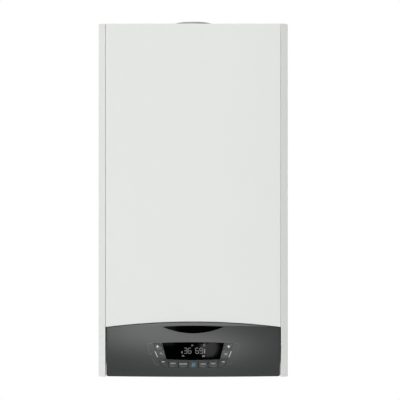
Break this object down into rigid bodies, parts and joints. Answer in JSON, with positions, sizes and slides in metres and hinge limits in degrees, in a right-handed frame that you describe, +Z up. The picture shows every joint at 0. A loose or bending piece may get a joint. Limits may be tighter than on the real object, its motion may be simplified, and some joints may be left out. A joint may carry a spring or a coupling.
{
  "type": "wall-hung combi boiler",
  "caption": "Wall-hung gas combi boiler: white sheet casing, pull-off front cover, dark tilting control panel with display and keys, flue collar and pipe tails.",
  "frame": {"origin": "on the wall face of the rear frame, midway between its two hanging slots", "axes": "+X to the viewer's right, +Y into the wall, +Z up"},
  "size_m": [0.4, 0.319, 0.7778],
  "materials": {
    "white_enamel": "smooth satin powder coat",
    "zinc_sheet": "zinc-coated sheet",
    "graphite_plastic": "fine satin moulding",
    "key_plastic": "satin moulded key",
    "black_gloss": "polished lens",
    "black_plastic": "moulded",
    "rubber_black": "soft moulded",
    "board_green": "solder mask",
    "cast_aluminium": "as cast",
    "stainless": "bright rolled",
    "brass": "hot stamped",
    "copper": "drawn tube",
    "vessel_red": "gloss paint",
    "grey_plastic": "moulded",
    "knob_red": "moulded",
    "knob_blue": "moulded"
  },
  "bodies": {
    "root": {"rear_frame": "zinc_sheet", "side_panel_left": "white_enamel", "side_panel_right": "white_enamel", "top_panel": "white_enamel", "bottom_frame": "zinc_sheet", "chamber_floor": "zinc_sheet", "hinge_bracket_left": "zinc_sheet", "hinge_bracket_right": "zinc_sheet", "heat_exchanger": "stainless", "exchanger_cradle": "zinc_sheet", "burner_door": "cast_aluminium", "mixture_duct": "cast_aluminium", "fan_housing": "cast_aluminium", "fan_motor": "black_plastic", "venturi_mixer": "cast_aluminium", "air_silencer": "black_plastic", "gas_valve": "cast_aluminium", "gas_pipe": "copper", "ignition_electrode": "grey_plastic", "flue_duct": "grey_plastic", "flue_gasket": "rubber_black", "flue_collar": "cast_aluminium", "sampling_plug": "black_plastic", "expansion_vessel": "vessel_red", "vessel_hose": "stainless", "flow_group": "brass", "return_group": "brass", "pump_motor": "black_plastic", "plate_exchanger": "stainless", "diverter_motor": "black_plastic", "air_vent": "black_plastic", "condensate_trap": "grey_plastic", "flow_pipe": "copper", "return_pipe": "copper", "cable_gland": "black_plastic"},
    "front_cover": {"front_cover": "white_enamel", "cover_seal": "rubber_black"},
    "control_panel": {"fascia": "graphite_plastic", "control_box": "black_plastic", "display_window": "black_gloss", "badge_inlay": "black_gloss", "lcd_module": "black_plastic", "main_board": "board_green", "keypad_mat": "rubber_black"},
    "key_hot_water_plus": {"key_hot_water_plus": "key_plastic"},
    "key_hot_water_minus": {"key_hot_water_minus": "key_plastic"},
    "key_heating_plus": {"key_heating_plus": "key_plastic"},
    "key_heating_minus": {"key_heating_minus": "key_plastic"},
    "key_menu": {"key_menu": "key_plastic"},
    "key_comfort": {"key_comfort": "key_plastic"},
    "key_power": {"key_power": "key_plastic"},
    "key_auto": {"key_auto": "key_plastic"},
    "key_reset": {"key_reset": "key_plastic"},
    "fan_impeller": {"fan_impeller": "grey_plastic"},
    "pump_rotor": {"pump_rotor": "grey_plastic"},
    "flow_turbine": {"flow_turbine": "grey_plastic"},
    "diverter_stem": {"diverter_stem": "stainless"},
    "safety_valve_knob": {"safety_valve_knob": "knob_red"},
    "filling_tap_knob": {"filling_tap_knob": "knob_blue"}
  },
  "joints": [
    {"name": "cover_pull", "type": "slide", "parent": "root", "child": "front_cover", "axis": [0, -1, 0], "range_m": [0, 0.35]},
    {"name": "panel_tilt", "type": "hinge", "parent": "root", "child": "control_panel", "pos_m": [0, -0.296, -0.681], "axis": [1, 0, 0], "range_deg": [0, 90]},
    {"name": "key_hot_water_plus_press", "type": "slide", "parent": "control_panel", "child": "key_hot_water_plus", "axis": [0, 1, 0], "range_m": [0, 0.0008], "stiffness_N_per_m": 1200},
    {"name": "key_hot_water_minus_press", "type": "slide", "parent": "control_panel", "child": "key_hot_water_minus", "axis": [0, 1, 0], "range_m": [0, 0.0008], "stiffness_N_per_m": 1200},
    {"name": "key_heating_plus_press", "type": "slide", "parent": "control_panel", "child": "key_heating_plus", "axis": [0, 1, 0], "range_m": [0, 0.0008], "stiffness_N_per_m": 1200},
    {"name": "key_heating_minus_press", "type": "slide", "parent": "control_panel", "child": "key_heating_minus", "axis": [0, 1, 0], "range_m": [0, 0.0008], "stiffness_N_per_m": 1200},
    {"name": "key_menu_press", "type": "slide", "parent": "control_panel", "child": "key_menu", "axis": [0, 1, 0], "range_m": [0, 0.0008], "stiffness_N_per_m": 1200},
    {"name": "key_comfort_press", "type": "slide", "parent": "control_panel", "child": "key_comfort", "axis": [0, 1, 0], "range_m": [0, 0.0008], "stiffness_N_per_m": 1200},
    {"name": "key_power_press", "type": "slide", "parent": "control_panel", "child": "key_power", "axis": [0, 1, 0], "range_m": [0, 0.0008], "stiffness_N_per_m": 1200},
    {"name": "key_auto_press", "type": "slide", "parent": "control_panel", "child": "key_auto", "axis": [0, 1, 0], "range_m": [0, 0.0008], "stiffness_N_per_m": 1200},
    {"name": "key_reset_press", "type": "slide", "parent": "control_panel", "child": "key_reset", "axis": [0, 1, 0], "range_m": [0, 0.0008], "stiffness_N_per_m": 1200},
    {"name": "fan_spin", "type": "hinge", "parent": "root", "child": "fan_impeller", "pos_m": [0.112, -0.15, -0.078], "axis": [0, -1, 0], "continuous": true},
    {"name": "pump_spin", "type": "hinge", "parent": "root", "child": "pump_rotor", "pos_m": [0.12, -0.15, -0.578], "axis": [0, -1, 0], "continuous": true},
    {"name": "turbine_spin", "type": "hinge", "parent": "root", "child": "flow_turbine", "pos_m": [0.067, -0.12, -0.63], "axis": [0, 0, 1], "continuous": true},
    {"name": "diverter_lift", "type": "slide", "parent": "root", "child": "diverter_stem", "axis": [0, 0, 1], "range_m": [0, 0.006]},
    {"name": "safety_turn", "type": "hinge", "parent": "root", "child": "safety_valve_knob", "pos_m": [0.1005, -0.12, -0.66], "axis": [0, 0, -1], "range_deg": [0, 90]},
    {"name": "filling_turn", "type": "hinge", "parent": "root", "child": "filling_tap_knob", "pos_m": [0.0335, -0.12, -0.66], "axis": [0, 0, -1], "range_deg": [0, 270]}
  ]
}
